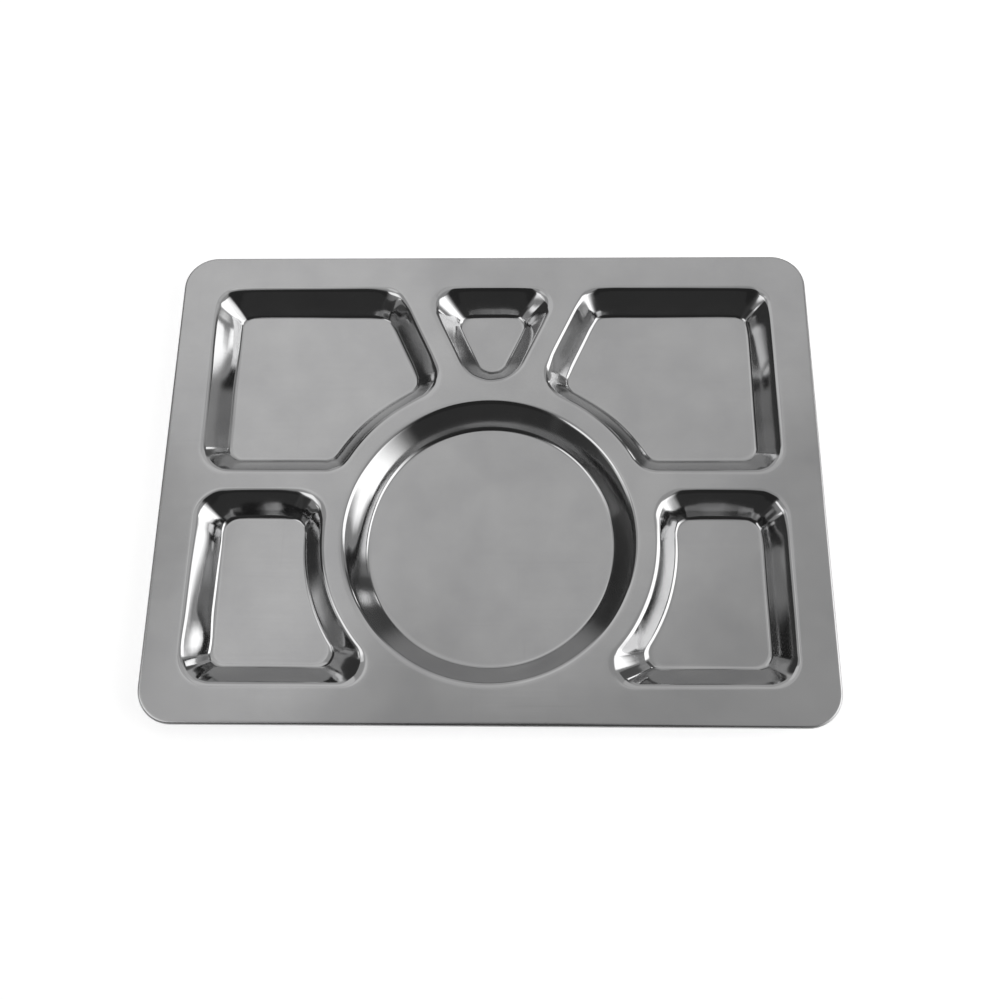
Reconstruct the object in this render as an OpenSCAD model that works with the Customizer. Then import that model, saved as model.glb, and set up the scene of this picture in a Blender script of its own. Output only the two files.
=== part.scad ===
// Divided mess tray pressed from one steel sheet: a flat deck with a rolled edge and six drawn wells.
// X runs left to right, Y from the front edge to the back, and the well floors rest on Z = 0.

/* [Tray] */
// Length of the tray, left to right
tray_l = 380; // [330:1:430]
// Width of the tray, front to back
tray_w = 285; // [250:1:320]
// Radius of the tray's outer corners
tray_corner_r = 20; // [10:1:40]
// Thickness of the sheet
sheet = 0.6; // [0.4:0.1:1]
// Depth of the wells, from the deck to the floor
well_depth = 15; // [11:0.5:20]
// Flat border between the tray's outline and the wells
border = 20; // [14:1:26]
// Flat web between the round well and the side wells, and between upper and lower ones
web = 8; // [4:0.5:12]
// Outside radius of the rolled edge
roll_r = 1.5; // [1.2:0.1:4]

/* [Walls] */
// Slope of the well walls, from level
wall_angle = 53; // [46:1:72]
// Radius of the bend where the deck turns down into a well
mouth_bend_r = 4; // [1.5:0.5:6]
// Radius of the bend where a wall meets its floor
floor_bend_r = 4; // [1.5:0.5:6]

/* [Side wells] */
// Middle of the web between the upper and lower side wells, from the tray's middle
divide_y = -4; // [-15:1:10]
// Radius of the side wells' corners at the mouth
side_mouth_r = 17; // [14:1:20]
// Radius of the side wells' corners at the floor
side_floor_r = 8; // [3:1:10]

/* [Small well] */
// Length of the small well's mouth, from its nose to the back; the round well takes the rest of the width
small_l = 65.5; // [58:0.5:75]
// Flat web between the small well and its neighbours
small_web = 9.5; // [5:0.5:13]
// Slope of its slanted sides, which the upper wells follow, from the back edge
slant_angle = 65; // [60:1:70]
// Radius of the small well's round nose at the mouth
nose_mouth_r = 23; // [19:1:27]
// Radius of the small well's round nose at the floor
nose_floor_r = 8; // [4:1:10]

/* [Back corners] */
// Radius of the corners along the back edge at the mouth
back_mouth_r = 13; // [9:1:18]
// Radius of the corners along the back edge at the floor
back_floor_r = 6; // [2:1:9]

/* [Hidden] */

// Angle that the rolled edge turns through
roll_angle = 240;
// Straight steps in a wall bend, in a corner, in a bulging side, in the rolled edge and in the round well
bend_steps = 4;
corner_steps = 6;
bulge_steps = 9;
roll_steps = 8;
round_steps = 96;
// Shares that a corner radius is tried at where its sides are short, the wanted radius first
radius_shares = [for (i = [20:-1:1]) i / 20];

deck_z = sheet + well_depth;
back_y = tray_w / 2 - border;
front_y = -back_y;
side_x = -(tray_l / 2 - border);
nose_centre = [0, back_y - small_l + nose_mouth_r];
round_r = (back_y - front_y - small_l - small_web) / 2;
round_centre = [0, front_y + round_r];

// Level distance that a wall covers, from the deck's flat to the floor's flat
bend_sum = mouth_bend_r + floor_bend_r;
wall_len = (well_depth - bend_sum * (1 - cos(wall_angle))) / sin(wall_angle);
wall_run = bend_sum * sin(wall_angle) + wall_len * cos(wall_angle);

// Headings of the straight sides, which are walked with the well on the left
back_angle = 90;
left_angle = 180;
front_angle = 270;
right_angle = 0;

// Sides of the wells and of the tray. The side wells are described on the left and mirrored.
upper_sides = [
    straight([side_x, back_y], left_angle),
    straight([side_x, back_y], front_angle),
    straight([side_x, divide_y + web / 2], right_angle),
    bulge(round_centre, round_r + web),
    straight(beside_nose(-slant_angle, nose_mouth_r + small_web), left_angle - slant_angle)
];
lower_sides = [
    straight([side_x, divide_y - web / 2], left_angle),
    straight([side_x, front_y], front_angle),
    straight([side_x, front_y], right_angle),
    bulge(round_centre, round_r + web)
];
small_sides = [
    straight([0, back_y], left_angle),
    straight(beside_nose(-slant_angle, nose_mouth_r), -slant_angle),
    straight(beside_nose(slant_angle, nose_mouth_r), slant_angle)
];
tray_sides = [
    straight([0, tray_w / 2], left_angle),
    straight([-tray_l / 2, 0], front_angle),
    straight([0, -tray_w / 2], right_angle),
    straight([tray_l / 2, 0], back_angle)
];

// An outline is its sides, the radius of the corner that starts each side at the mouth, and the same at the floor
upper_well = well(
    upper_sides,
    [back_mouth_r, back_mouth_r, side_mouth_r, side_mouth_r, side_mouth_r],
    [back_floor_r, back_floor_r, side_floor_r, side_floor_r, side_floor_r]
);
lower_well = well(
    lower_sides,
    [side_mouth_r, side_mouth_r, side_mouth_r, side_mouth_r],
    [side_floor_r, side_floor_r, side_floor_r, side_floor_r]
);
small_well = well(
    small_sides,
    [back_mouth_r, back_mouth_r, nose_mouth_r],
    [back_floor_r, back_floor_r, nose_floor_r]
);
tray_outline = [
    tray_sides,
    [for (side = tray_sides) tray_corner_r],
    [for (side = tray_sides) tray_corner_r - wall_run]
];

// Sides of an outline: a straight one by a point and its heading, and one that bulges in round a centre
function straight(point, heading) = ["straight", point, heading];
function bulge(centre, r) = ["bulge", centre, r];
function is_straight(side) = side[0] == "straight";
function along(heading) = [cos(heading), sin(heading)];
function left_of(heading) = [-sin(heading), cos(heading)];
function direction(from, to) = atan2(to[1] - from[1], to[0] - from[0]);
function turn(from, to) = to - from - 360 * floor((to - from) / 360);

// Point on a slanted side that passes the middle of the small well's nose at a distance
function beside_nose(heading, distance) = nose_centre - distance * left_of(heading);

// The same side moved into the well
function inset_side(side, inset) = is_straight(side)
    ? straight(side[1] + inset * left_of(side[2]), side[2])
    : bulge(side[1], side[2] + inset);
function inset_sides(sides, inset) = [for (side = sides) inset_side(side, inset)];

// Centre of the corner arc that touches two sides in turn
function corner_centre(a, b, r) = is_straight(a) && is_straight(b)
    ? lines_meet(inset_side(a, r), inset_side(b, r))
    : is_straight(a)
        ? line_meets_circle(inset_side(a, r), b[1], b[2] + r, -1)
        : line_meets_circle(inset_side(b, r), a[1], a[2] + r, 1);

function lines_meet(a, b) =
    let (u = along(a[2]), v = along(b[2]))
    a[1] + u * cross(b[1] - a[1], v) / cross(u, v);

function line_meets_circle(line, centre, r, way) =
    let (u = along(line[2]), to_centre = centre - line[1], off = cross(u, to_centre))
    line[1] + u * (to_centre * u + way * sqrt(r * r - off * off));

function corner_centres(sides, radii) =
    let (n = len(sides))
    [for (i = [0:n - 1]) corner_centre(sides[(i + n - 1) % n], sides[i], radii[i])];

// Corner radii that the sides have room for: the wanted ones, or the largest share of them that fits
function fitted(sides, radii) =
    [for (share = radius_shares) if (has_room(sides, corner_centres(sides, share * radii))) share * radii][0];
function has_room(sides, centres) =
    let (n = len(sides))
    min([for (i = [0:n - 1]) side_room(sides[i], centres[i], centres[(i + 1) % n])]) > 0;

// Length left of a side between its two corners, below zero where they cross
function side_room(side, corner, next_corner) = is_straight(side)
    ? (next_corner - corner) * along(side[2])
    : cross(next_corner - side[1], corner - side[1]);

function well(sides, mouth_radii, floor_radii) =
    [sides, fitted(sides, mouth_radii), fitted(inset_sides(sides, wall_run), floor_radii)];

// Direction from a corner's centre to the point where it touches a side
function touch_angle(side, centre) = is_straight(side) ? side[2] - 90 : direction(centre, side[1]);

function corner_points(a, b, centre, r) =
    let (start = touch_angle(a, centre), sweep = turn(start, touch_angle(b, centre)))
    [for (i = [0:corner_steps]) centre + r * along(start + sweep * i / corner_steps)];

// Points of a bulging side between its two corners, and none for a straight one
function side_points(side, corner, next_corner) = is_straight(side)
    ? []
    : let (start = direction(side[1], corner), sweep = turn(direction(side[1], next_corner), start))
      [for (i = [1:bulge_steps - 1]) side[1] + side[2] * along(start - sweep * i / bulge_steps)];

// Outline moved in by an inset, with corner radii that go from the mouth's to the floor's over the wall
function ring(outline, inset) =
    let (
        sides = inset_sides(outline[0], inset),
        n = len(sides),
        radii = outline[1] + (outline[2] - outline[1]) * inset / wall_run,
        centres = corner_centres(sides, radii)
    )
    [for (i = [0:n - 1]) each concat(
        corner_points(sides[(i + n - 1) % n], sides[i], centres[i], radii[i]),
        side_points(sides[i], centres[i], centres[(i + 1) % n])
    )];

// Bend arc as [inset, height] points about a centre, with angles counted from straight up
function bend(centre, r, from, to, steps) =
    [for (i = [0:steps])
        let (angle = from + (to - from) * i / steps)
        centre + r * [sin(angle), cos(angle)]];

// Overlap of the drawn walls and the rolled edge on the flat sheet, with which they are one
lap = roll_r;

// Section of a well wall: down its upper side from the deck to the floor, and back up its underside
mouth_centre = [0, deck_z - mouth_bend_r];
floor_centre = [wall_run, sheet + floor_bend_r];
wall_top = concat(
    bend(mouth_centre, mouth_bend_r, 0, wall_angle, bend_steps),
    bend(floor_centre, -floor_bend_r, wall_angle, 0, bend_steps)
);
wall_under = concat(
    bend(floor_centre, -floor_bend_r - sheet, 0, wall_angle, bend_steps),
    bend(mouth_centre, mouth_bend_r - sheet, wall_angle, 0, bend_steps)
);
deck_lap = [[-lap, deck_z - sheet], [-lap, deck_z]];
floor_lap = [[wall_run + lap, sheet], [wall_run + lap, 0]];
wall_section = concat(wall_top, floor_lap, wall_under, deck_lap);

// Section of the rolled edge: up its outside, a lap along the deck, and back down its inside
roll_centre = [roll_r, deck_z - roll_r];
roll_section = concat(
    bend(roll_centre, roll_r, -roll_angle, 0, roll_steps),
    [[roll_r + lap, deck_z], [roll_r + lap, deck_z - sheet]],
    bend(roll_centre, roll_r - sheet, 0, -roll_angle, roll_steps)
);

// Closed section carried round an outline
module loft(outline, section) {
    rings = [for (p = section) [for (q = ring(outline, p[0])) [q[0], q[1], p[1]]]];
    rows = len(rings);
    n = len(rings[0]);
    polyhedron(
        points = [for (r = rings) each r],
        faces = [
            for (k = [0:rows - 1], j = [0:n - 1])
                let (
                    here = k * n + j,
                    beside = k * n + (j + 1) % n,
                    below = (k + 1) % rows * n + j,
                    across = (k + 1) % rows * n + (j + 1) % n
                )
                each [[here, across, beside], [here, below, across]]
        ]
    );
}

// Flat deck between the rolled edge and the mouths of the wells
module deck() {
    translate([0, 0, deck_z - sheet])
        linear_extrude(height = sheet)
            difference() {
                polygon(ring(tray_outline, roll_r));
                polygon(ring(small_well, 0));
                for (side = [0, 1])
                    mirror([side, 0, 0]) {
                        polygon(ring(upper_well, 0));
                        polygon(ring(lower_well, 0));
                    }
                translate(round_centre)
                    circle(r = round_r, $fn = round_steps);
            }
}

// Wall and floor of a well with straight and bulging sides
module drawn_well(outline) {
    loft(outline, wall_section);
    linear_extrude(height = sheet)
        polygon(ring(outline, wall_run));
}

module round_well() {
    axis_points = [[0, sheet], [0, 0]];
    translate(round_centre)
        rotate_extrude($fn = round_steps)
            polygon(concat(
                [for (p = wall_top) [round_r - p[0], p[1]]],
                axis_points,
                [for (p = concat(wall_under, deck_lap)) [round_r - p[0], p[1]]]
            ));
}

// The whole tray, one pressing
module pressed_tray() {
    color("silver") {
        deck();
        loft(tray_outline, roll_section);
        round_well();
        drawn_well(small_well);
        for (side = [0, 1])
            mirror([side, 0, 0]) {
                drawn_well(upper_well);
                drawn_well(lower_well);
            }
    }
}

pressed_tray();
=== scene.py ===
import math

import bmesh
import bpy
import numpy as np
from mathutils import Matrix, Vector
from mathutils.geometry import delaunay_2d_cdt


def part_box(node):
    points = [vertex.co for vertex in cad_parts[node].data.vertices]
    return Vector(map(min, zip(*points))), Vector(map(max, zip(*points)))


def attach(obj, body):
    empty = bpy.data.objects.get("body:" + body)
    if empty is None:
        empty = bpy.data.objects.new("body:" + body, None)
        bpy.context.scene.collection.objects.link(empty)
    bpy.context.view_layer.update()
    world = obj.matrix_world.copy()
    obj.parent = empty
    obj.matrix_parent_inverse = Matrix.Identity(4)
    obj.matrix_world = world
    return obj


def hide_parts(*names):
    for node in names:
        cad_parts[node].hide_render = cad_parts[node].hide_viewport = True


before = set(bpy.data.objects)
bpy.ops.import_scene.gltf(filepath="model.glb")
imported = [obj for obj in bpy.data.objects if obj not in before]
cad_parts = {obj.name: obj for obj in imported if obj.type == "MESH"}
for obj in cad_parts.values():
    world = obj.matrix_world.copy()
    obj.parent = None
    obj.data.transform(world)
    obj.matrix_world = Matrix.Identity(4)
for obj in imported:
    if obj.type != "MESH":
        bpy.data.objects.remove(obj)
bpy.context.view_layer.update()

MM = 0.001

# Sizes of the tray, in metres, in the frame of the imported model
BOX_LOW, BOX_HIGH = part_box("pressed_tray")
TRAY_L = BOX_HIGH[0] - BOX_LOW[0]
TRAY_W = BOX_HIGH[1] - BOX_LOW[1]
DECK_Z = BOX_HIGH[2]
SHEET = 0.6 * MM
TRAY_CORNER_R = 20 * MM
BORDER = 20 * MM
WEB = 8 * MM
ROLL_R = 1.5 * MM
ROLL_ANGLE = math.radians(240)

WALL_ANGLE = math.radians(53)
MOUTH_BEND_R = 4 * MM
FLOOR_BEND_R = 4 * MM

DIVIDE_Y = -4 * MM
SIDE_MOUTH_R = 17 * MM
SIDE_FLOOR_R = 8 * MM
TIP_MOUTH_R = 13 * MM

SMALL_L = 65.5 * MM
SMALL_WEB = 9.5 * MM
SLANT_ANGLE = math.radians(65)
NOSE_MOUTH_R = 23 * MM
NOSE_FLOOR_R = 8 * MM
BACK_MOUTH_R = 13 * MM
BACK_FLOOR_R = 6 * MM

# Fineness of the mesh
BEND_STEPS = 10
WALL_STEPS = 6
CORNER_STEPS = 16
ROLL_STEPS = 20
SIDE_STEP = 4 * MM
FEWEST_SIDE_STEPS = 2
HOLD = 1 * MM
DECK_GRID = 12 * MM
GRID_CLEARANCE = DECK_GRID / 3
SLIVER = 0.001 * MM * MM
WELD_LIMIT = 1e-9
SHARP_ANGLE = math.radians(50)

# Slow waves that shift the drawn walls: radians a millimetre along X and Y, start and share
WAVE_HEIGHT = 0.12 * MM
EAST_WAVES = ((0.071, 0.043, 0.6, 1.0), (0.131, -0.117, 2.1, 0.6))
NORTH_WAVES = ((-0.039, 0.067, 1.7, 1.0), (0.101, 0.143, 4.4, 0.6))

# Puckers where the sheet was drawn round a corner
PUCKER_HEIGHTS = (0.10 * MM, 0.30 * MM)
PUCKER_LENGTHS = (6 * MM, 10 * MM)
PUCKER_REACH = 11 * MM
PUCKER_SEED = 7

# A bow moves a wall inward at half its height, and a lean flattens it and tightens its bends
# They are given one by one, and a row of values is spaced evenly along a side
BOW = 0.50 * MM
CORNER_BOW = 1.8 * MM
DEEP_BOW = 2.8 * MM
BOW_BLEND = 5 * MM
EVEN_BOW = (BOW,)
NO_BOW = (0.0,)
NO_LEAN = (0.0,)
UPPER_LEFT_BOW = (0.5 * MM, 0.4 * MM, 0.2 * MM, 0.2 * MM, 0.2 * MM)
UPPER_LEFT_LEAN = (0.8 * MM, 0.7 * MM, 0.0, 0.0, 0.0)
LOWER_LEFT_BOW = (2.2 * MM, 1.0 * MM, 0.4 * MM, 0.4 * MM)
LOWER_LEFT_LEAN = (0.0, 0.0, 0.0, 0.0, 0.9 * MM)
SLANT_LEAN = (0.35 * MM,)

# The same on the left of the round well, by the angle from +X
ROUND_LEFT_BOW = 0.5 * MM
ROUND_LEFT_LEAN = 0.75 * MM
ROUND_LEFT_MIDDLE = math.radians(165)
ROUND_LEFT_REACH = math.radians(26)

# Sizes that follow from the ones above
WELL_DEPTH = DECK_Z - SHEET
BACK_Y = TRAY_W / 2 - BORDER
FRONT_Y = -BACK_Y
SIDE_X = -(TRAY_L / 2 - BORDER)
NOSE_CENTRE = np.array([0.0, BACK_Y - SMALL_L + NOSE_MOUTH_R])
ROUND_R = (BACK_Y - FRONT_Y - SMALL_L - SMALL_WEB) / 2
ROUND_CENTRE = np.array([0.0, FRONT_Y + ROUND_R])
BEND_SUM = MOUTH_BEND_R + FLOOR_BEND_R
WALL_LEN = (WELL_DEPTH - BEND_SUM * (1 - math.cos(WALL_ANGLE))) / math.sin(WALL_ANGLE)
WALL_RUN = BEND_SUM * math.sin(WALL_ANGLE) + WALL_LEN * math.cos(WALL_ANGLE)

# Headings of the straight sides
TO_BACK = math.pi / 2
TO_LEFT = math.pi
TO_FRONT = -math.pi / 2
TO_RIGHT = 0.0

# Sides of a well in the order they are walked, each with the corner it starts from
BACK, LEFT, FRONT, INNER, SLANT = range(5)

# Finish of a point: shares of the burnished wall, the worn crest of a mouth and the brushed roll
FINISHES = ("drawn", "crest", "rolled")
PLAIN = (0.0, 0.0, 0.0)
BURNISHED = (1.0, 0.0, 0.0)
BURNISH_RISE = 2.0
CREST_NARROWING = 1.5
ROLL_RISE = 6.0


# Outlines of the wells
def even_shares(count):
    return [i / count for i in range(count + 1)]


def along(heading):
    return np.array([math.cos(heading), math.sin(heading)])


def left_of(heading):
    return np.array([-math.sin(heading), math.cos(heading)])


def heading_of(way):
    return math.atan2(way[1], way[0])


def on_circle(centre, radius, angles):
    return centre + radius * np.column_stack([np.cos(angles), np.sin(angles)])


def cross(a, b):
    return a[0] * b[1] - a[1] * b[0]


def turn(start, end):
    return (end - start) % (2 * math.pi)


def straight(x, y, heading):
    """A straight side, by a point on it and its heading."""
    return ("straight", np.array([x, y]), heading)


def bulge(centre, radius):
    """A round side that bulges into the well."""
    return ("bulge", centre, radius)


def beside_nose(heading, distance):
    return NOSE_CENTRE - distance * left_of(heading)


def inset_side(side, inset):
    kind, place, value = side
    if kind == "straight":
        return (kind, place + inset * left_of(value), value)
    return (kind, place, value + inset)


def line_meets_circle(line, centre, radius, way):
    u = along(line[2])
    to_centre = centre - line[1]
    off = cross(u, to_centre)
    return line[1] + u * (to_centre @ u + way * math.sqrt(radius * radius - off * off))


def corner_centre(a, b, radius):
    """Centre of the arc that rounds the corner from side a to side b."""
    if a[0] == "bulge":
        return line_meets_circle(inset_side(b, radius), a[1], a[2] + radius, 1)
    if b[0] == "bulge":
        return line_meets_circle(inset_side(a, radius), b[1], b[2] + radius, -1)
    p, q = inset_side(a, radius), inset_side(b, radius)
    u, v = along(p[2]), along(q[2])
    return p[1] + u * cross(q[1] - p[1], v) / cross(u, v)


def touch_angle(side, centre):
    """Angle from a corner's centre to the point where its arc touches a side."""
    if side[0] == "straight":
        return side[2] - math.pi / 2
    return heading_of(side[1] - centre)


def stepped(shares, values):
    """Values spaced evenly along a side, read at shares of its length."""
    return np.interp(shares, np.linspace(0, 1, len(values)), values)


class Outline:
    """Sides walked with the well on the left, with corner radii that go from the mouth's to the floor's.

    Bows of corners, and bows and leans of sides, are given by the side's place in the walk.
    """

    def __init__(self, sides, mouth_radii, floor_radii, corner_bows=None, bows=None, leans=None):
        self.sides = sides
        self.mouth_radii = np.array(mouth_radii)
        self.floor_radii = np.array(floor_radii)
        self.corner_bows = corner_bows or {}
        self.bows = bows or {}
        self.leans = leans or {}
        self.counts = []
        centres, _, _ = self.corners(0)
        for start, end in zip(centres, centres[1:] + centres[:1]):
            steps = round(np.linalg.norm(end - start) / SIDE_STEP)
            self.counts.append(max(FEWEST_SIDE_STEPS, steps))

    def corners(self, inset):
        moved = [inset_side(side, inset) for side in self.sides]
        radii = self.mouth_radii + (self.floor_radii - self.mouth_radii) * inset / WALL_RUN
        centres = [corner_centre(moved[i - 1], moved[i], radii[i]) for i in range(len(moved))]
        return centres, radii, moved

    def puckers(self, draw):
        """How far each point of a ring is pushed by ripples and bows, and how far it leans."""
        ring = self.ring(WALL_RUN / 2)
        steps = np.linalg.norm(np.roll(ring, -1, axis=0) - ring, axis=1)
        place = np.concatenate([[0.0], np.cumsum(steps)[:-1]])
        whole = steps.sum()
        bow = np.zeros(len(ring))
        push = np.zeros(len(ring))
        lean = np.zeros(len(ring))
        first = 0
        for i, count in enumerate(self.counts):
            side = first + CORNER_STEPS + 1
            after = first + CORNER_STEPS + count
            shares = np.linspace(0, 1, count - 1)
            bow[first:side] = self.corner_bows.get(i, BOW)
            bow[side:after] = stepped(shares, self.bows.get(i, EVEN_BOW))
            lean[side:after] = stepped(shares, self.leans.get(i, NO_LEAN))
            middle = place[first + CORNER_STEPS // 2]
            away = (place - middle + whole / 2) % whole - whole / 2
            height = draw.uniform(*PUCKER_HEIGHTS)
            length = draw.uniform(*PUCKER_LENGTHS)
            start = draw.uniform(0, 2 * math.pi)
            ripple = np.cos(2 * math.pi * away / length + start)
            push += height * ripple * np.exp(-(away / PUCKER_REACH) ** 2)
            first = after
        apart = (place[:, None] - place[None] + whole / 2) % whole - whole / 2
        weight = np.exp(-(apart / BOW_BLEND) ** 2) * steps[None]
        return push + weight @ bow / weight.sum(1), weight @ lean / weight.sum(1)

    def ring(self, inset):
        centres, radii, moved = self.corners(inset)
        arcs = []
        for i, centre in enumerate(centres):
            start = touch_angle(moved[i - 1], centre)
            sweep = turn(start, touch_angle(moved[i], centre))
            arcs.append(on_circle(centre, radii[i], np.linspace(start, start + sweep, CORNER_STEPS + 1)))
        points = []
        for i, side in enumerate(moved):
            points.append(arcs[i])
            first, last = arcs[i][-1], arcs[(i + 1) % len(arcs)][0]
            shares = np.linspace(0, 1, self.counts[i] + 1)[1:-1]
            if side[0] == "straight":
                points.append(first + (last - first) * shares[:, None])
            else:
                begin = heading_of(first - side[1])
                sweep = turn(heading_of(last - side[1]), begin)
                points.append(on_circle(side[1], side[2], begin - sweep * shares))
        return np.concatenate(points)


class Flipped:
    """An outline across the YZ plane."""

    def __init__(self, outline):
        self.outline = outline

    def puckers(self, draw):
        push, lean = self.outline.puckers(draw)
        return push[::-1], lean[::-1]

    def ring(self, inset):
        return self.outline.ring(inset)[::-1] * np.array([-1.0, 1.0])


class Circle:
    """The round well, whose ring has its points at even steps."""

    def __init__(self, centre, radius):
        self.centre = centre
        self.radius = radius
        count = round(2 * math.pi * radius / SIDE_STEP)
        self.angles = np.arange(count) * 2 * math.pi / count

    def puckers(self, draw):
        near = np.exp(-((self.angles - ROUND_LEFT_MIDDLE) / ROUND_LEFT_REACH) ** 2)
        return BOW + ROUND_LEFT_BOW * near, ROUND_LEFT_LEAN * near

    def ring(self, inset):
        return on_circle(self.centre, self.radius - inset, self.angles)


def side_wells():
    upper_sides = [
        straight(SIDE_X, BACK_Y, TO_LEFT),
        straight(SIDE_X, BACK_Y, TO_FRONT),
        straight(SIDE_X, DIVIDE_Y + WEB / 2, TO_RIGHT),
        bulge(ROUND_CENTRE, ROUND_R + WEB),
        straight(*beside_nose(-SLANT_ANGLE, NOSE_MOUTH_R + SMALL_WEB), TO_LEFT - SLANT_ANGLE),
    ]
    upper_mouth = [BACK_MOUTH_R] * 2 + [SIDE_MOUTH_R] * 3
    upper_floor = [BACK_FLOOR_R] * 2 + [SIDE_FLOOR_R] * 3
    upper = (upper_sides, upper_mouth, upper_floor)
    lower_sides = [
        straight(SIDE_X, DIVIDE_Y - WEB / 2, TO_LEFT),
        straight(SIDE_X, FRONT_Y, TO_FRONT),
        straight(SIDE_X, FRONT_Y, TO_RIGHT),
        bulge(ROUND_CENTRE, ROUND_R + WEB),
    ]
    lower_mouth = [SIDE_MOUTH_R] * 3 + [TIP_MOUTH_R]
    lower_floor = [SIDE_FLOOR_R] * 4
    lower = (lower_sides, lower_mouth, lower_floor)
    upper_left_bows = {BACK: DEEP_BOW, LEFT: CORNER_BOW, SLANT: CORNER_BOW}
    upper_right_bows = {BACK: CORNER_BOW, LEFT: CORNER_BOW, SLANT: CORNER_BOW}
    lower_left_bows = {BACK: DEEP_BOW, LEFT: CORNER_BOW}
    lower_right_bows = {BACK: CORNER_BOW, LEFT: CORNER_BOW}
    return [
        Outline(*upper, upper_left_bows, {LEFT: UPPER_LEFT_BOW}, {LEFT: UPPER_LEFT_LEAN}),
        Flipped(Outline(*upper, upper_right_bows, {SLANT: NO_BOW}, {SLANT: SLANT_LEAN})),
        Outline(*lower, lower_left_bows, {LEFT: LOWER_LEFT_BOW}, {LEFT: LOWER_LEFT_LEAN}),
        Flipped(Outline(*lower, lower_right_bows)),
    ]


def small_well():
    sides = [
        straight(0.0, BACK_Y, TO_LEFT),
        straight(*beside_nose(-SLANT_ANGLE, NOSE_MOUTH_R), -SLANT_ANGLE),
        straight(*beside_nose(SLANT_ANGLE, NOSE_MOUTH_R), SLANT_ANGLE),
    ]
    mouth = [BACK_MOUTH_R, BACK_MOUTH_R, NOSE_MOUTH_R]
    floor = [BACK_FLOOR_R, BACK_FLOOR_R, NOSE_FLOOR_R]
    return Outline(sides, mouth, floor, {BACK: CORNER_BOW, LEFT: CORNER_BOW})


def tray_edge():
    sides = [
        straight(0.0, TRAY_W / 2, TO_LEFT),
        straight(-TRAY_L / 2, 0.0, TO_FRONT),
        straight(0.0, -TRAY_W / 2, TO_RIGHT),
        straight(TRAY_L / 2, 0.0, TO_BACK),
    ]
    return Outline(sides, [TRAY_CORNER_R] * 4, [TRAY_CORNER_R - WALL_RUN] * 4)


# Sections as rows of inset, height and finish, at a depth below the sheet's upper face
def wall_section(depth):
    rows = [(-HOLD, DECK_Z - depth, PLAIN)]
    radius = MOUTH_BEND_R - depth
    for share in even_shares(BEND_STEPS):
        angle = WALL_ANGLE * share
        inset = radius * math.sin(angle)
        height = DECK_Z - MOUTH_BEND_R + radius * math.cos(angle)
        crest = math.sin(math.pi * min(1.0, share * CREST_NARROWING))
        rows.append((inset, height, (min(1.0, share * BURNISH_RISE), crest, 0.0)))
    top_inset, top_height, _ = rows[-1]
    radius = FLOOR_BEND_R + depth
    foot_inset = WALL_RUN - radius * math.sin(WALL_ANGLE)
    foot_height = SHEET + FLOOR_BEND_R - radius * math.cos(WALL_ANGLE)
    for share in even_shares(WALL_STEPS)[1:-1]:
        inset = top_inset + (foot_inset - top_inset) * share
        height = top_height + (foot_height - top_height) * share
        rows.append((inset, height, BURNISHED))
    for share in even_shares(BEND_STEPS):
        angle = WALL_ANGLE * (1 - share)
        inset = WALL_RUN - radius * math.sin(angle)
        height = SHEET + FLOOR_BEND_R - radius * math.cos(angle)
        rows.append((inset, height, (min(1.0, (1 - share) * BURNISH_RISE), 0.0, 0.0)))
    rows.append((WALL_RUN + HOLD, SHEET - depth, PLAIN))
    return rows


def roll_section(depth):
    rows = [(ROLL_R + HOLD, DECK_Z - depth, PLAIN)]
    radius = ROLL_R - depth
    for share in even_shares(ROLL_STEPS):
        angle = -ROLL_ANGLE * share
        inset = ROLL_R + radius * math.sin(angle)
        height = DECK_Z - ROLL_R + radius * math.cos(angle)
        rows.append((inset, height, (0.0, 0.0, min(1.0, share * ROLL_RISE))))
    return rows


# Mesh of the tray
class Sheet:
    """Collects the rings of the sheet and the faces between them."""

    def __init__(self):
        self.places = []
        self.finishes = []
        self.faces = []

    def add_point(self, x, y, height, finish):
        self.places.append((x, y, height))
        self.finishes.append(finish)
        return len(self.places) - 1

    def add_ring(self, outline, row, push=None):
        inset, height, finish = row
        flat = outline.ring(inset)
        if push is not None:
            bow, lean = push
            share = max(0.0, min(1.0, inset / WALL_RUN))
            inward = outline.ring(inset + HOLD) - flat
            inward /= np.linalg.norm(inward, axis=1)[:, None]
            moved = bow * math.sin(math.pi * share) - lean * math.sin(2 * math.pi * share)
            flat = flat + inward * moved[:, None]
        return [self.add_point(x, y, height, finish) for x, y in flat]

    def bridge(self, a, b):
        n = len(a)
        for j in range(n):
            k = (j + 1) % n
            self.faces.append((a[j], a[k], b[k], b[j]))

    def loft(self, outline, section, push=None):
        rings = [self.add_ring(outline, row, push) for row in section]
        for a, b in zip(rings, rings[1:]):
            self.bridge(a, b)
        return rings

    def fill(self, loops):
        """Triangles on a flat between an outer loop and the loops of its holes, with a loose grid inside."""
        outlines = [np.array([self.places[i][:2] for i in loop]) for loop in loops]
        index = [i for loop in loops for i in loop]
        height = self.places[index[0]][2]
        edges = []
        start = 0
        for loop in loops:
            n = len(loop)
            edges += [(start + j, start + (j + 1) % n) for j in range(n)]
            start += n
        index += [self.add_point(x, y, height, PLAIN) for x, y in inner_grid(outlines)]
        flat = [Vector(self.places[i][:2]) for i in index]
        _, _, triangles, origin, _, _ = delaunay_2d_cdt(flat, edges, [], 0, WELD_LIMIT)
        corners = np.array([[flat[origin[c][0]] for c in t] for t in triangles])
        sides = corners[:, 1:] - corners[:, :1]
        area = np.abs(sides[:, 0, 0] * sides[:, 1, 1] - sides[:, 0, 1] * sides[:, 1, 0]) / 2
        kept = covered(corners.mean(1), outlines) & (area > SLIVER)
        for t, keep in zip(triangles, kept):
            if keep:
                self.faces.append(tuple(index[origin[c][0]] for c in t))


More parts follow.
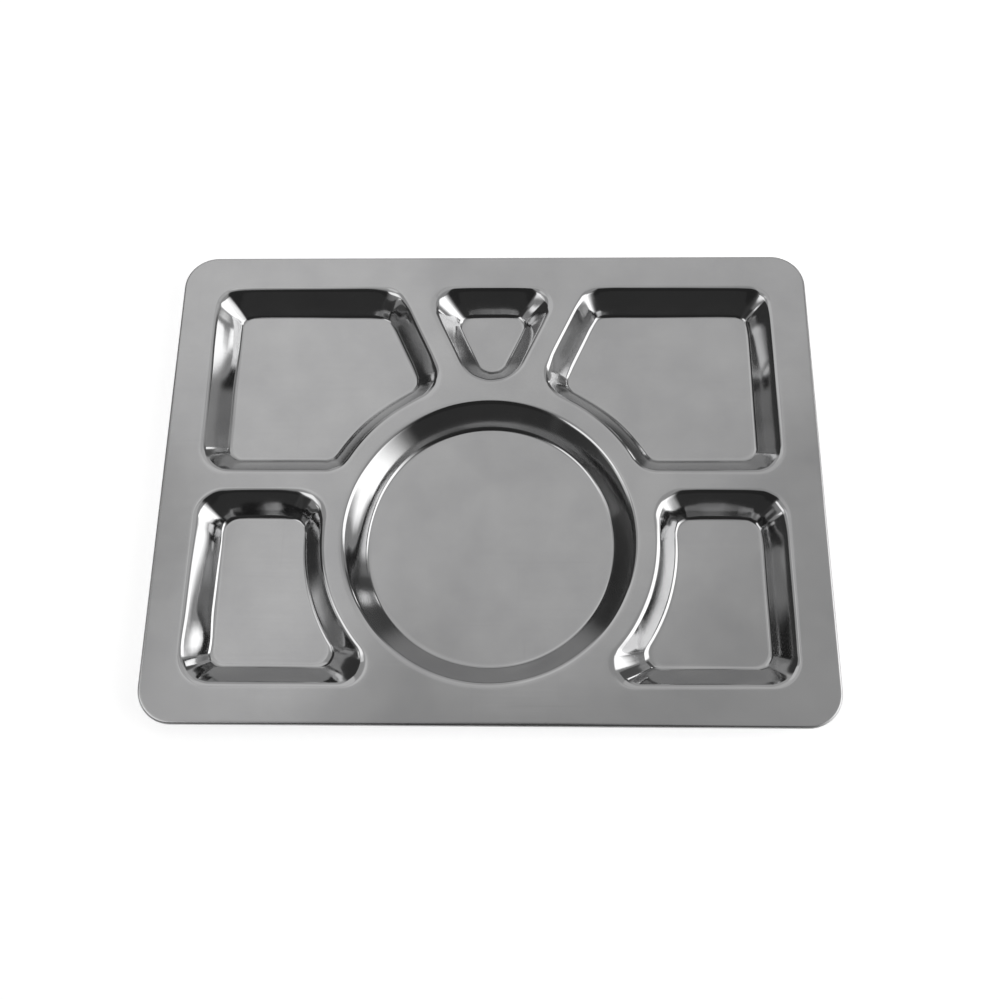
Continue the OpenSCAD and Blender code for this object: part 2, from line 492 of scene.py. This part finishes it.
def inner_grid(outlines):
    """Points of an even grid on a flat, clear of its outlines."""
    low, high = outlines[0].min(0), outlines[0].max(0)
    xs = np.arange(low[0] + DECK_GRID / 2, high[0], DECK_GRID)
    ys = np.arange(low[1] + DECK_GRID / 2, high[1], DECK_GRID)
    grid = np.array([(x, y) for x in xs for y in ys]).reshape(-1, 2)
    rim = np.concatenate(outlines)
    near = np.sqrt(((grid[:, None] - rim[None]) ** 2).sum(2)).min(1)
    return grid[(near > GRID_CLEARANCE) & covered(grid, outlines)]


def covered(points, outlines):
    """True for points inside an odd number of the outlines."""
    inside = np.zeros(len(points), bool)
    for loop in outlines:
        for (x0, y0), (x1, y1) in zip(loop, np.roll(loop, -1, axis=0)):
            if y0 == y1:
                continue
            spans = (points[:, 1] >= min(y0, y1)) & (points[:, 1] < max(y0, y1))
            x = x0 + (points[:, 1] - y0) * (x1 - x0) / (y1 - y0)
            inside ^= spans & (points[:, 0] < x)
    return inside


def waves(x, y, rows):
    """Slow unevenness of the drawn walls, as a level shift."""
    total = 0.0
    shift = np.zeros(len(x))
    for along_x, along_y, start, share in rows:
        shift += share * np.sin(x / MM * along_x + y / MM * along_y + start)
        total += share
    return WAVE_HEIGHT * shift / total


def add_object(name, data):
    made = bpy.data.objects.new(name, data)
    bpy.context.scene.collection.objects.link(made)
    return made


def build_tray():
    sheet = Sheet()
    edge = tray_edge()
    roll_top = sheet.loft(edge, roll_section(0.0))
    roll_under = sheet.loft(edge, roll_section(SHEET))
    sheet.bridge(roll_top[-1], roll_under[-1])
    top_loops = [roll_top[0]]
    under_loops = [roll_under[0]]
    draw = np.random.default_rng(PUCKER_SEED)
    for well in side_wells() + [small_well(), Circle(ROUND_CENTRE, ROUND_R)]:
        push = well.puckers(draw)
        top = sheet.loft(well, wall_section(0.0), push)
        under = sheet.loft(well, wall_section(SHEET), push)
        top_loops.append(top[0])
        under_loops.append(under[0])
        sheet.fill([top[-1]])
        sheet.fill([under[-1]])
    sheet.fill(top_loops)
    sheet.fill(under_loops)

    places = np.array(sheet.places)
    finishes = dict(zip(FINISHES, np.array(sheet.finishes).T))
    east = waves(places[:, 0], places[:, 1], EAST_WAVES)
    north = waves(places[:, 0], places[:, 1], NORTH_WAVES)
    places[:, 0] += east * finishes["drawn"]
    places[:, 1] += north * finishes["drawn"]

    mesh = bpy.data.meshes.new("tray_sheet")
    mesh.from_pydata(places.tolist(), [], sheet.faces)
    bm = bmesh.new()
    bm.from_mesh(mesh)
    bmesh.ops.recalc_face_normals(bm, faces=bm.faces)
    if bm.calc_volume(signed=True) < 0:
        bmesh.ops.reverse_faces(bm, faces=bm.faces)
    bm.to_mesh(mesh)
    bm.free()
    mesh.shade_smooth()
    mesh.set_sharp_from_angle(angle=SHARP_ANGLE)
    for name, values in finishes.items():
        layer = mesh.attributes.new(name, "FLOAT", "POINT")
        layer.data.foreach_set("value", values.tolist())
    return add_object("tray_sheet", mesh)


# Materials
class Nodes:
    """A short way to add and link shader nodes."""

    def __init__(self, tree):
        self.tree = tree
        self.tree.nodes.clear()

    def add(self, kind, **settings):
        node = self.tree.nodes.new(kind)
        for name, value in settings.items():
            if name in node.inputs:
                node.inputs[name].default_value = value
            else:
                setattr(node, name, value)
        return node

    def link(self, a, b):
        self.tree.links.new(a, b)

    def output(self, surface, kind="ShaderNodeOutputMaterial"):
        self.link(surface, self.add(kind).inputs["Surface"])

    def attribute(self, name):
        return self.add("ShaderNodeAttribute", attribute_name=name).outputs["Fac"]

    def math(self, operation, a, b, clamp=False):
        node = self.add("ShaderNodeMath", operation=operation, use_clamp=clamp)
        for socket, value in zip(node.inputs, (a, b)):
            if isinstance(value, (int, float)):
                socket.default_value = value
            else:
                self.link(value, socket)
        return node.outputs[0]

    def noise(self, vector, scale, detail, roughness=0.5):
        node = self.add("ShaderNodeTexNoise", Scale=scale, Detail=detail, Roughness=roughness)
        self.link(vector, node.inputs["Vector"])
        return node.outputs["Fac"]

    def stretched(self, vector, stretch, turned=0.0):
        node = self.add("ShaderNodeMapping", Scale=stretch, Rotation=(0.0, 0.0, turned))
        self.link(vector, node.inputs["Vector"])
        return node.outputs["Vector"]

    def spread(self, value, low, high):
        """A 0 to 1 value taken to a range."""
        node = self.add("ShaderNodeMapRange")
        node.inputs["To Min"].default_value = low
        node.inputs["To Max"].default_value = high
        self.link(value, node.inputs["Value"])
        return node.outputs["Result"]

    def window(self, value, low, high):
        """0 below low, 1 above high."""
        node = self.add("ShaderNodeMapRange", interpolation_type="SMOOTHSTEP")
        node.inputs["From Min"].default_value = low
        node.inputs["From Max"].default_value = high
        self.link(value, node.inputs["Value"])
        return node.outputs["Result"]


def new_material(name):
    material = bpy.data.materials.new(name)
    material.use_nodes = True
    return material, Nodes(material.node_tree)


# Steel: patterns by their cells a metre, ranges of roughness, colours and relief
GRAIN_CELLS = (14.0, 620.0, 620.0)
MOTTLE_CELLS = 90.0
SMUDGE_CELLS = 16.0
CLOUD_CELLS = 34.0
DENT_CELLS = 22.0
LONG_HAIR_CELLS = (9.0, 700.0, 300.0)
LONG_HAIR_TURN = 0.5
LONG_HAIR_WINDOW = (0.76, 0.84)
CROSS_HAIR_CELLS = (640.0, 11.0, 300.0)
CROSS_HAIR_TURN = 0.2
CROSS_HAIR_WINDOW = (0.77, 0.85)

SATIN_ROUGHNESS = (0.155, 0.195)
SATIN_SMUDGES = (-0.05, 0.07)
BRIGHT_ROUGHNESS = (0.07, 0.12)
BRIGHT_SMUDGES = (-0.02, 0.03)
CREST_POLISH = 0.04
HAIR_ROUGHNESS = 0.03
ROLL_ROUGHNESS = 0.26

DARK_STEEL = (0.485, 0.485, 0.49, 1.0)
LIGHT_STEEL = (0.575, 0.575, 0.575, 1.0)
DARK_AT = 0.3
LIGHT_AT = 0.7
CLOUD_SHARE = 0.4
SMUDGE_SHARE = 0.4
MOTTLE_SHARE = 0.2

DENT_STRENGTH = 0.22
DENT_DEPTH = 0.6 * MM
GRAIN_STRENGTH = 0.06
GRAIN_DEPTH = 0.05 * MM
HAIR_DEPTH_SHARE = 0.3


def steel_material():
    material, n = new_material("stainless_sheet")
    place = n.add("ShaderNodeTexCoord").outputs["Object"]
    drawn, crest, rolled = [n.attribute(name) for name in FINISHES]

    # Rolling grain along the length, mottle, smudges, clouds and hairline scratches
    grain = n.noise(n.stretched(place, GRAIN_CELLS), 1.0, detail=2.0)
    mottle = n.noise(place, MOTTLE_CELLS, detail=4.0, roughness=0.6)
    smudge = n.noise(place, SMUDGE_CELLS, detail=3.0, roughness=0.55)
    cloud = n.noise(place, CLOUD_CELLS, detail=1.0)
    long_hair = n.noise(n.stretched(place, LONG_HAIR_CELLS, LONG_HAIR_TURN), 1.0, detail=0.0)
    cross_hair = n.noise(n.stretched(place, CROSS_HAIR_CELLS, CROSS_HAIR_TURN), 1.0, detail=0.0)
    long_hair = n.window(long_hair, *LONG_HAIR_WINDOW)
    cross_hair = n.window(cross_hair, *CROSS_HAIR_WINDOW)
    hairs = n.math("MAXIMUM", long_hair, cross_hair)

    # Roughness: satin on the flats, burnished by the die on the walls and by use on the crests
    satin = n.math("ADD", n.spread(grain, *SATIN_ROUGHNESS), n.spread(smudge, *SATIN_SMUDGES))
    bright = n.math("ADD", n.spread(mottle, *BRIGHT_ROUGHNESS), n.spread(smudge, *BRIGHT_SMUDGES))
    finish = n.add("ShaderNodeMix", data_type="FLOAT")
    n.link(drawn, finish.inputs[0])
    n.link(satin, finish.inputs[2])
    n.link(bright, finish.inputs[3])
    worn = n.math("MULTIPLY", crest, CREST_POLISH)
    scratched = n.math("MULTIPLY", hairs, HAIR_ROUGHNESS)
    brushed = n.math("MULTIPLY", rolled, ROLL_ROUGHNESS)
    rougher = n.math("ADD", finish.outputs[0], n.math("ADD", scratched, brushed))
    rough = n.math("SUBTRACT", rougher, worn, clamp=True)

    # Colour: steel grey, a little darker in the smudges
    clouds = n.math("MULTIPLY", cloud, CLOUD_SHARE)
    patches = n.math("ADD", clouds, n.math("MULTIPLY", smudge, SMUDGE_SHARE))
    tone = n.math("ADD", n.math("MULTIPLY", mottle, MOTTLE_SHARE), patches)
    colour = n.add("ShaderNodeValToRGB")
    dark, light = colour.color_ramp.elements
    dark.position = DARK_AT
    dark.color = DARK_STEEL
    light.position = LIGHT_AT
    light.color = LIGHT_STEEL
    n.link(tone, colour.inputs["Fac"])

    # Relief: slow dents in the flats, fine grain and scratches
    slow = n.add("ShaderNodeBump", Strength=DENT_STRENGTH, Distance=DENT_DEPTH)
    n.link(n.noise(place, DENT_CELLS, detail=2.0), slow.inputs["Height"])
    fine = n.add("ShaderNodeBump", Strength=GRAIN_STRENGTH, Distance=GRAIN_DEPTH)
    cuts = n.math("MULTIPLY", hairs, HAIR_DEPTH_SHARE)
    n.link(n.math("SUBTRACT", grain, cuts), fine.inputs["Height"])
    n.link(slow.outputs["Normal"], fine.inputs["Normal"])

    shader = n.add("ShaderNodeBsdfPrincipled", Metallic=1.0)
    n.link(colour.outputs["Color"], shader.inputs["Base Color"])
    n.link(rough, shader.inputs["Roughness"])
    n.link(fine.outputs["Normal"], shader.inputs["Normal"])
    n.output(shader.outputs["BSDF"])
    return material


# Studio: a pale floor that shows white, the level of the room, and soft panels round the tray
FLOOR_HALF = 6.0
FLOOR_COLOUR = (0.86, 0.86, 0.86, 1.0)
FLOOR_GLOW = 0.62
WORLD_LEVEL = 0.55
PANEL_STEPS = 24

# Panels by strength, azimuths and elevations in degrees, distance in metres, and widths of their soft edges
PANELS = [
    ("softbox_right_front", 2.1, (-62, -4), (-5, 52), 1.60, (6, 6)),
    ("softbox_right", 2.1, (-12, 24), (6, 56), 1.61, (6, 6)),
    ("strip_right", 2.1, (37.5, 44), (0.5, 16), 0.62, (1.5, 2.5)),
    ("wall_right", 0.35, (-8, 31), (0.5, 38), 1.64, (0, 0)),
    ("wall_right_back", 0.12, (24, 70), (0.5, 38), 1.65, (0, 0)),
    ("window_left_high", 1.00, (172, 217), (34, 60), 1.62, (0, 4)),
    ("window_left_low", 0.32, (178, 217), (9, 36), 1.63, (0, 0)),
    ("lamp_left_front", 1.60, (-180, -134), (36, 64), 1.50, (6, 6)),
    ("lamp_left_low", 1.50, (-180, -164), (19, 29), 1.51, (3, 3)),
    ("dark_front_low", 0.045, (-150, -22), (0.5, 28), 1.56, (24, 0)),
    ("dark_front_high", 0.03, (-150, -22), (28, 88), 1.56, (24, 0)),
    ("dark_left_front", 0.06, (203, 234), (0.5, 26), 1.59, (5, 0)),
    ("wall_back", 0.50, (56, 130), (0.5, 38), 1.64, (8, 0)),
    ("wall_left_back", 0.05, (112, 180), (0.5, 36), 1.66, (0, 0)),
    ("wall_left_low", 0.08, (178, 217), (0.5, 9), 1.66, (0, 0)),
    ("ceiling_back_left", 0.78, (100, 142), (29, 68), 1.62, (0, 5)),
    ("ceiling_back_right", 0.65, (48, 100), (31, 68), 1.62, (0, 5)),
    ("ceiling_left", 0.84, (116, 190), (62, 78), 1.68, (24, 4)),
    ("ceiling_top", 0.62, (32, 130), (66, 90), 1.69, (8, 0)),
    ("ceiling_right", 0.43, (-38, 34), (54, 86), 1.70, (6, 0)),
]


def seen_rays(n):
    """1 for rays from the camera and for what shows in metal and glass."""
    path = n.add("ShaderNodeLightPath")
    seen = n.math("MAXIMUM", path.outputs["Is Camera Ray"], path.outputs["Is Glossy Ray"])
    return n.math("MAXIMUM", seen, path.outputs["Is Transmission Ray"])


def floor_material():
    material, n = new_material("pale_floor")
    paper = n.add("ShaderNodeBsdfDiffuse", Color=FLOOR_COLOUR)
    glow = n.add("ShaderNodeEmission")
    n.link(n.math("MULTIPLY", seen_rays(n), FLOOR_GLOW), glow.inputs["Strength"])
    mix = n.add("ShaderNodeAddShader")
    n.link(paper.outputs["BSDF"], mix.inputs[0])
    n.link(glow.outputs["Emission"], mix.inputs[1])
    n.output(mix.outputs["Shader"])
    return material


def panel_material(name, strength):
    """A studio panel that gives off an even light and fades out at a soft edge."""
    material, n = new_material(name)
    clear = n.add("ShaderNodeBsdfTransparent")
    light = n.add("ShaderNodeEmission", Strength=strength)
    mix = n.add("ShaderNodeMixShader")
    n.link(n.attribute("fade"), mix.inputs[0])
    n.link(clear.outputs["BSDF"], mix.inputs[1])
    n.link(light.outputs["Emission"], mix.inputs[2])
    n.output(mix.outputs["Shader"])
    return material


def edge_fade(share, width, soft):
    """How much of a panel's light is left near its two edges."""
    if not soft:
        return 1.0
    return min(1.0, min(share, 1 - share) * width / soft)


def dome_panel(name, strength, azimuths, elevations, radius, soft):
    """A panel that is a patch of a dome round the tray, with azimuths counted from +X."""
    verts = []
    fades = []
    wide = azimuths[1] - azimuths[0]
    high = elevations[1] - elevations[0]
    for up in even_shares(PANEL_STEPS):
        elevation = math.radians(elevations[0] + high * up)
        level = radius * math.cos(elevation)
        height = DECK_Z + radius * math.sin(elevation)
        for side in even_shares(PANEL_STEPS):
            azimuth = math.radians(azimuths[0] + wide * side)
            verts.append((level * math.cos(azimuth), level * math.sin(azimuth), height))
            fades.append(edge_fade(side, wide, soft[0]) * edge_fade(up, high, soft[1]))
    faces = []
    row = PANEL_STEPS + 1
    for i in range(PANEL_STEPS):
        for j in range(PANEL_STEPS):
            k = i * row + j
            faces.append((k, k + 1, k + row + 1, k + row))
    mesh = bpy.data.meshes.new(name)
    mesh.from_pydata(verts, [], faces)
    mesh.materials.append(panel_material(name, strength))
    layer = mesh.attributes.new("fade", "FLOAT", "POINT")
    layer.data.foreach_set("value", fades)
    panel = add_object(name, mesh)
    panel.visible_camera = False


def build_studio():
    mesh = bpy.data.meshes.new("floor")
    ways = ((-1, -1), (1, -1), (1, 1), (-1, 1))
    mesh.from_pydata([(x * FLOOR_HALF, y * FLOOR_HALF, 0) for x, y in ways], [], [(0, 1, 2, 3)])
    mesh.materials.append(floor_material())
    floor = add_object("floor", mesh)

    world = bpy.data.worlds.new("studio")
    bpy.context.scene.world = world
    world.use_nodes = True
    n = Nodes(world.node_tree)
    sky = n.add("ShaderNodeBackground", Strength=WORLD_LEVEL)
    n.output(sky.outputs["Background"], "ShaderNodeOutputWorld")

    for panel in PANELS:
        dome_panel(*panel)


# The photograph's viewpoint, found from the tray's edges, its round well and its mirrored wells
CAMERA_SENSOR_MM = 36.0
CAMERA_LENS_MM = 37.29
CAMERA_PLACE = (0.01959, -0.20128, 0.57547)
CAMERA_TURN = (0.3202, 0.0217, 0.0090)


def build_camera():
    data = bpy.data.cameras.new("camera")
    data.sensor_width = CAMERA_SENSOR_MM
    data.lens = CAMERA_LENS_MM
    camera = add_object("camera", data)
    camera.location = CAMERA_PLACE
    camera.rotation_euler = CAMERA_TURN
    bpy.context.scene.camera = camera


build_camera()
build_studio()
tray = build_tray()
tray.data.materials.append(steel_material())
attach(tray, "root")
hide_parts("pressed_tray")
bpy.context.scene.view_settings.view_transform = "Standard"
